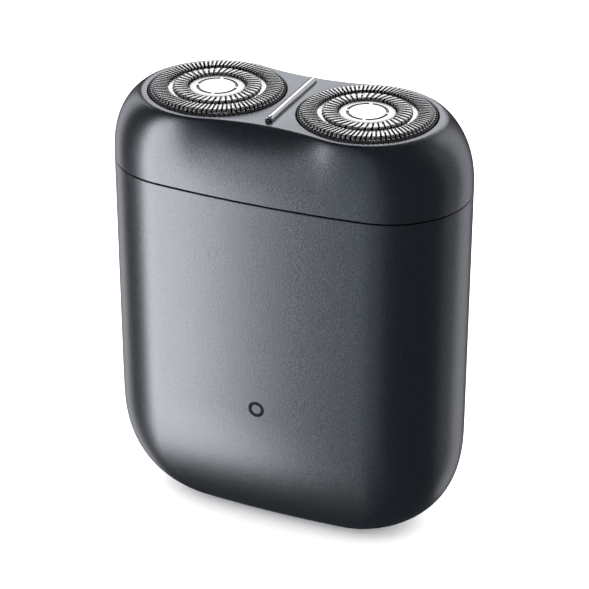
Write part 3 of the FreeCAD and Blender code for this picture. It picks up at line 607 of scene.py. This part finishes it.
# ---- springs -----------------------------------------------------------------------------
def make_spring(side, centre_x):
    """Coil spring that stands in a drive gear."""
    low, high = span("spindle_spring_" + side)
    coil_r = (high[0] - low[0]) / 2 - WIRE_R
    rows, columns = SPRING_TURNS * TURN_STEPS + 1, WIRE_SIDES
    turn = np.linspace(0, 2 * np.pi * SPRING_TURNS, rows)[:, None]
    outward = np.stack([np.cos(turn), np.sin(turn), 0 * turn], -1)
    height = np.linspace(low[2] + WIRE_R, high[2] - WIRE_R, rows)[:, None]
    middle = coil_r * outward + np.stack([0 * turn, 0 * turn, height], -1)
    along = np.gradient(middle[:, 0], axis=0)[:, None]
    along = along / np.linalg.norm(along, axis=2, keepdims=True)
    around = 2 * np.pi * np.arange(columns)[None, :, None] / columns
    wire = middle + WIRE_R * (outward * np.cos(around) + np.cross(along, outward) * np.sin(around))
    faces = [list(f) for f in tube_faces(rows, columns)]
    faces.append(list(reversed(range(columns))))
    faces.append([(rows - 1) * columns + c for c in range(columns)])
    points = wire.reshape(-1, 3) + np.array([centre_x, 0, 0])
    piece = make_piece("coil_spring_" + side, points, faces, "gear_" + side, BLADE_STEEL,
                       ["spindle_spring_" + side])
    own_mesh(piece)


# ---- shaving caps ------------------------------------------------------------------------
def cap_profile():
    """Outer surface of a cap from the disc's seat to the foot, as (radius, height under the crest)."""
    line = [(4.72, -0.75), (4.9, -0.75), (4.9, -0.5)]
    line += arc((5.3, -0.4), 0.4, 180, 90, 5)
    line += [(5.8, 0.0), (6.2, 0.0), (6.6, 0.0)]
    line += arc((7.0, -0.4), 0.4, 90, 0, 5)
    line += [(7.42, -0.55), (7.5, -0.6), (7.8, -0.6), (8.1, -0.6), (8.18, -0.55)]
    line += arc((8.48, -0.3), 0.3, 180, 90, 5)
    line += [(9.0, 0.0), (9.5, 0.0), (10.0, 0.0)]
    line += arc((10.45, -0.4), 0.4, 90, 0, 7)
    line += [(10.87, -0.47), (10.91, -0.5), (11.0, -0.5), (11.11, -0.5), (11.15, -0.54)]
    line += [(11.15, -1.15), (11.15, -3.6)]
    return np.array(line)


def slotted(radius, height):
    """Whether a slot crosses this place on a cap's surface."""
    inner = 4.89 < radius < 7.45 and height > -0.76
    outer = radius > 8.17 and height > -1.2
    return inner or outer


def cap_columns(line, crossed):
    """Angles of the points in one sector for each point of the profile, and how far each is lowered."""
    sector, half_pitch = 2 * np.pi / INNER_SLOTS, 2 * np.pi / OUTER_SLOTS
    angles, drops = [], []
    for (radius, _), slot in zip(line, crossed):
        half = SLOT_HALF / radius
        bevel = (SLOT_BEVEL if slot else PLAIN_BEVEL) / radius
        if radius > TRACK_SPLIT:
            twist = -math.radians(OUTER_TWIST) * (min(radius, OUTER_END) - OUTER_MIDDLE) / OUTER_MIDDLE
            base = [-half, 0.0, half, half + bevel, half_pitch / 2, half_pitch - half - bevel]
            angles.append([b + twist for b in base] + [b + twist + half_pitch for b in base])
            drop = OUTER_DROPS
        else:
            twist = -math.radians(INNER_TWIST) * (radius - INNER_MIDDLE) / INNER_MIDDLE
            land = sector - 2 * (half + bevel)
            base = [-half, 0.0, half] + [half + bevel + land * share for share in INNER_COLUMNS]
            angles.append([b + twist for b in base])
            drop = INNER_DROPS
        drops.append([SLOT_DROP * d if slot else 0.0 for d in drop])
    return np.array(angles), np.array(drops)


def open_cells(line, crossed, per_sector):
    """Which cells between the profile's rows are slots: the first two of each slot's columns."""
    columns = per_sector * INNER_SLOTS
    cells = np.zeros((len(line) - 1, columns), bool)
    for r in range(len(line) - 1):
        if crossed[r] and crossed[r + 1]:
            per_slot = per_sector // (2 if line[r, 0] > TRACK_SPLIT else 1)
            cells[r] = np.arange(columns) % per_slot < 2
    return cells


def cap_faces(cells):
    """Faces of both skins, the slots' walls and the foot."""
    rows, columns = cells.shape[0] + 1, cells.shape[1]
    shift = rows * columns
    index = np.arange(shift).reshape(rows, columns)
    faces = []
    for r in range(rows - 1):
        for c in range(columns):
            before, after = (c - 1) % columns, (c + 1) % columns
            a, b = index[r, c], index[r, after]
            d, e = index[r + 1, c], index[r + 1, after]
            if not cells[r, c]:
                faces.append((a, d, e, b))
                faces.append((a + shift, b + shift, e + shift, d + shift))
                continue
            if not cells[r, before]:
                faces.append((a, a + shift, d + shift, d))
            if not cells[r, after]:
                faces.append((b, e, e + shift, b + shift))
            if r == 0 or not cells[r - 1, c]:
                faces.append((a, b, b + shift, a + shift))
            if r == rows - 2 or not cells[r + 1, c]:
                faces.append((d, d + shift, e + shift, e))
    for c in range(columns):
        last, after = index[-1, c], index[-1, (c + 1) % columns]
        faces.append((last, last + shift, after + shift, after))
    for c in range(columns):
        after = (c + 1) % columns
        faces.append((2 * shift, index[0, c], index[0, after]))
        faces.append((2 * shift + 1, index[0, after] + shift, index[0, c] + shift))
    return faces


def make_cap(side, centre_x):
    """Pressed cap: two rounded tracks crossed by slanted slots, with walls as thick as the skin."""
    line = cap_profile()
    tangent = np.gradient(line, axis=0)
    tangent /= np.linalg.norm(tangent, axis=1, keepdims=True)
    normal = np.stack([-tangent[:, 1], tangent[:, 0]], 1)
    crossed = [slotted(*place) for place in line]
    angles, drops = cap_columns(line, crossed)
    rows, per_sector = angles.shape
    turn = 2 * np.pi / INNER_SLOTS * np.arange(INNER_SLOTS)[None, :, None]
    theta = (angles[:, None, :] + turn).reshape(rows, -1)
    lowered = np.tile(drops, (1, INNER_SLOTS))

    def surface(offset):
        """Points this far outside the profile."""
        r = line[:, :1] + normal[:, :1] * offset
        z = line[:, 1:] + normal[:, 1:] * offset
        return np.stack([r * np.cos(theta), r * np.sin(theta), z + CREST_Z], -1).reshape(-1, 3)

    hubs = [[0, 0, CREST_Z + SEAT], [0, 0, CREST_Z + SEAT - SKIN]]
    points = np.concatenate([surface(-lowered), surface(np.full(theta.shape, -SKIN)), hubs])
    points[:, 0] += centre_x
    faces = cap_faces(open_cells(line, crossed, per_sector))
    make_piece("slotted_cap_" + side, points, faces, "cap_" + side, CAP_STEEL,
               ["shaving_cap_" + side], sharp=40)


def disc_profile():
    """Face and edge of a disc as (radius, height under the crest), and how deep the groove is at each."""
    radii = (0.6, 1.5, 2.4, 2.9, 2.99, 3.0, 3.12, 3.25, 3.27, 3.4, 3.53, 3.54, 3.6)
    depth = [0, 0, 0, 0, 0, 0.01, 0.085, 0.16, 0.16, 0.085, 0.01, 0, 0]
    line = [(r, DISC_TOP) for r in radii]
    line += [(3.8, DISC_TOP - 0.01), (4.1, DISC_TOP - 0.03), (4.4, DISC_TOP - 0.06)]
    line += arc((DISC_R - DISC_EDGE_R, DISC_TOP - 0.08 - DISC_EDGE_R), DISC_EDGE_R, 84, 0, 4)
    line += [(DISC_R, DISC_FOOT)]
    return line, depth + [0] * (len(line) - len(depth))


def make_disc(side, centre_x):
    """Cover disc with a groove of four etched arcs and an edge that falls away."""
    line, depth = disc_profile()
    angle = 2 * np.pi * np.arange(DISC_COLUMNS) / DISC_COLUMNS
    across, along = np.cos(angle), np.sin(angle)
    from_gap = abs((np.degrees(angle) - GAP_ANGLE + 45) % 90 - 45)
    inside = np.clip((from_gap - GAP_HALF) / GAP_FADE, 0, 1)
    rows = []
    for (r, z), d in zip(line, depth):
        height = np.full(DISC_COLUMNS, z + CREST_Z) - d * inside
        rows.append(np.stack([r * across, r * along, height], 1))
    count, last = len(rows) * DISC_COLUMNS, (len(rows) - 1) * DISC_COLUMNS
    points = np.concatenate(rows + [[[0, 0, CREST_Z + DISC_TOP], [0, 0, CREST_Z + DISC_FOOT]]])
    points[:, 0] += centre_x
    faces = [list(reversed(f)) for f in tube_faces(len(rows), DISC_COLUMNS)]
    for c in range(DISC_COLUMNS):
        after = (c + 1) % DISC_COLUMNS
        faces.append([count, c, after])
        faces.append([count + 1, last + after, last + c])
    metal = turned_steel("disc_steel_" + side, (0.80, 0.80, 0.805), 0.16, 0.22, centre_x)
    piece = make_piece("cover_disc_" + side, points, faces, "cap_" + side, metal,
                       ["cap_disc_" + side])
    piece.data.materials.append(ETCHED)
    low, high = [index for index, (r, _) in enumerate(line) if r in GROOVE]
    for row in range(low, high):
        for c in range(DISC_COLUMNS):
            if inside[c] > 0.5 and inside[(c + 1) % DISC_COLUMNS] > 0.5:
                piece.data.polygons[row * DISC_COLUMNS + c].material_index = 1


# ---- studio ------------------------------------------------------------------------------
WHITE, COOL = (1, 1, 1), (0.72, 0.83, 1.0)
FLOOR_HALF = 6.0                    # metres
SKY, ROOM = 2.4, 0.042              # world strength for what scatters it, and for what mirrors it
LAMP_DISTANCE, LAMP_AIM = 1.2, 0.04
CAMERA_AZIMUTH, CAMERA_ELEVATION, CAMERA_DISTANCE = 23.62, 28.08, 0.38451
CAMERA_TARGET = (0.56, 0, 41.23)    # mm
LENS, SENSOR = 136.47, 36.0
# name, azimuth, elevation, width and height in degrees as the object sees it, radiance, colour
LAMPS = (
    ("key_softbox", -44, -19.3, 25, 64.5, 2.12, WHITE),
    ("key_edge", -22, -12, 22, 52, 0.17, COOL),
    ("left_strip", -116, -8, 24, 85, 0.8, WHITE),
    ("right_strip", 149, -6, 34, 90, 0.5, WHITE),
    ("right_fill", 114, 0, 18, 80, 0.12, WHITE),
    ("front_fill", 4, -8, 24, 70, 0.12, COOL),
    ("back_top", -162, 29, 42, 22, 1.55, WHITE),
)


def make_floor():
    """Pale floor. It is left out of reflections, as a light table would be."""
    size = FLOOR_HALF
    corners = [(-size, -size, 0), (size, -size, 0), (size, size, 0), (-size, size, 0)]
    mesh = bpy.data.meshes.new("floor")
    mesh.from_pydata(corners, [], [(0, 1, 2, 3)])
    floor = bpy.data.objects.new("floor", mesh)
    bpy.context.scene.collection.objects.link(floor)
    s = Shader("floor_white", (0.93, 0.93, 0.935), roughness=0.9, Specular_IOR_Level=0.1)
    s.tint(s.ranged(s.noise(900.0), 0, 1), 0.99, 1.01)
    mesh.materials.append(s.material)
    floor.visible_glossy = False
    floor.visible_shadow = False


def direction(azimuth, elevation):
    """Unit vector towards an azimuth measured from the front, anticlockwise to +X, and an elevation."""
    a, e = math.radians(azimuth), math.radians(elevation)
    return Vector((math.sin(a) * math.cos(e), -math.cos(a) * math.cos(e), math.sin(e)))


def area_light(name, azimuth, elevation, width, height, radiance, color):
    """Rectangular lamp that faces the object."""
    data = bpy.data.lights.new(name, "AREA")
    data.shape = "RECTANGLE"
    data.size = 2 * LAMP_DISTANCE * math.tan(math.radians(width / 2))
    data.size_y = 2 * LAMP_DISTANCE * math.tan(math.radians(height / 2))
    data.energy = radiance * math.pi * data.size * data.size_y
    data.color = color
    lamp = bpy.data.objects.new(name, data)
    bpy.context.scene.collection.objects.link(lamp)
    towards = direction(azimuth, elevation)
    lamp.location = Vector((0, 0, LAMP_AIM)) + towards * LAMP_DISTANCE
    lamp.rotation_mode = "QUATERNION"
    lamp.rotation_quaternion = towards.to_track_quat("Z", "Y")
    lamp.visible_camera = False


def make_world():
    """Even white light for what scatters it, and a dark room for what mirrors it."""
    world = bpy.data.worlds.new("studio")
    bpy.context.scene.world = world
    world.use_nodes = True
    tree = world.node_tree
    bright = tree.nodes["Background"]
    bright.inputs["Color"].default_value = (*WHITE, 1)
    bright.inputs["Strength"].default_value = SKY
    dark = tree.nodes.new("ShaderNodeBackground")
    dark.inputs["Color"].default_value = (*COOL, 1)
    dark.inputs["Strength"].default_value = ROOM
    path = tree.nodes.new("ShaderNodeLightPath")
    mix = tree.nodes.new("ShaderNodeMixShader")
    tree.links.new(path.outputs["Is Glossy Ray"], mix.inputs[0])
    tree.links.new(bright.outputs[0], mix.inputs[1])
    tree.links.new(dark.outputs[0], mix.inputs[2])
    tree.links.new(mix.outputs[0], tree.nodes["World Output"].inputs["Surface"])


def make_camera():
    """Long lens from the front right, looking down."""
    target = Vector([c * MM for c in CAMERA_TARGET])
    data = bpy.data.cameras.new("camera")
    data.lens, data.sensor_width = LENS, SENSOR
    data.clip_start, data.clip_end = 0.01, 50
    camera = bpy.data.objects.new("camera", data)
    bpy.context.scene.collection.objects.link(camera)
    back = direction(CAMERA_AZIMUTH, CAMERA_ELEVATION)
    camera.location = target + back * CAMERA_DISTANCE
    camera.rotation_mode = "QUATERNION"
    camera.rotation_quaternion = back.to_track_quat("Z", "Y")
    bpy.context.scene.camera = camera


bpy.context.scene.view_settings.view_transform = "Standard"
paint_cad_nodes()
make_body_shell()
make_head_shell()
make_trim_bar()
make_button()
make_indicator()
for head, head_x in HEADS:
    make_cap(head, head_x)
    make_disc(head, head_x)
    make_spring(head, head_x)
make_floor()
for lamp_row in LAMPS:
    area_light(*lamp_row)
make_world()
make_camera()
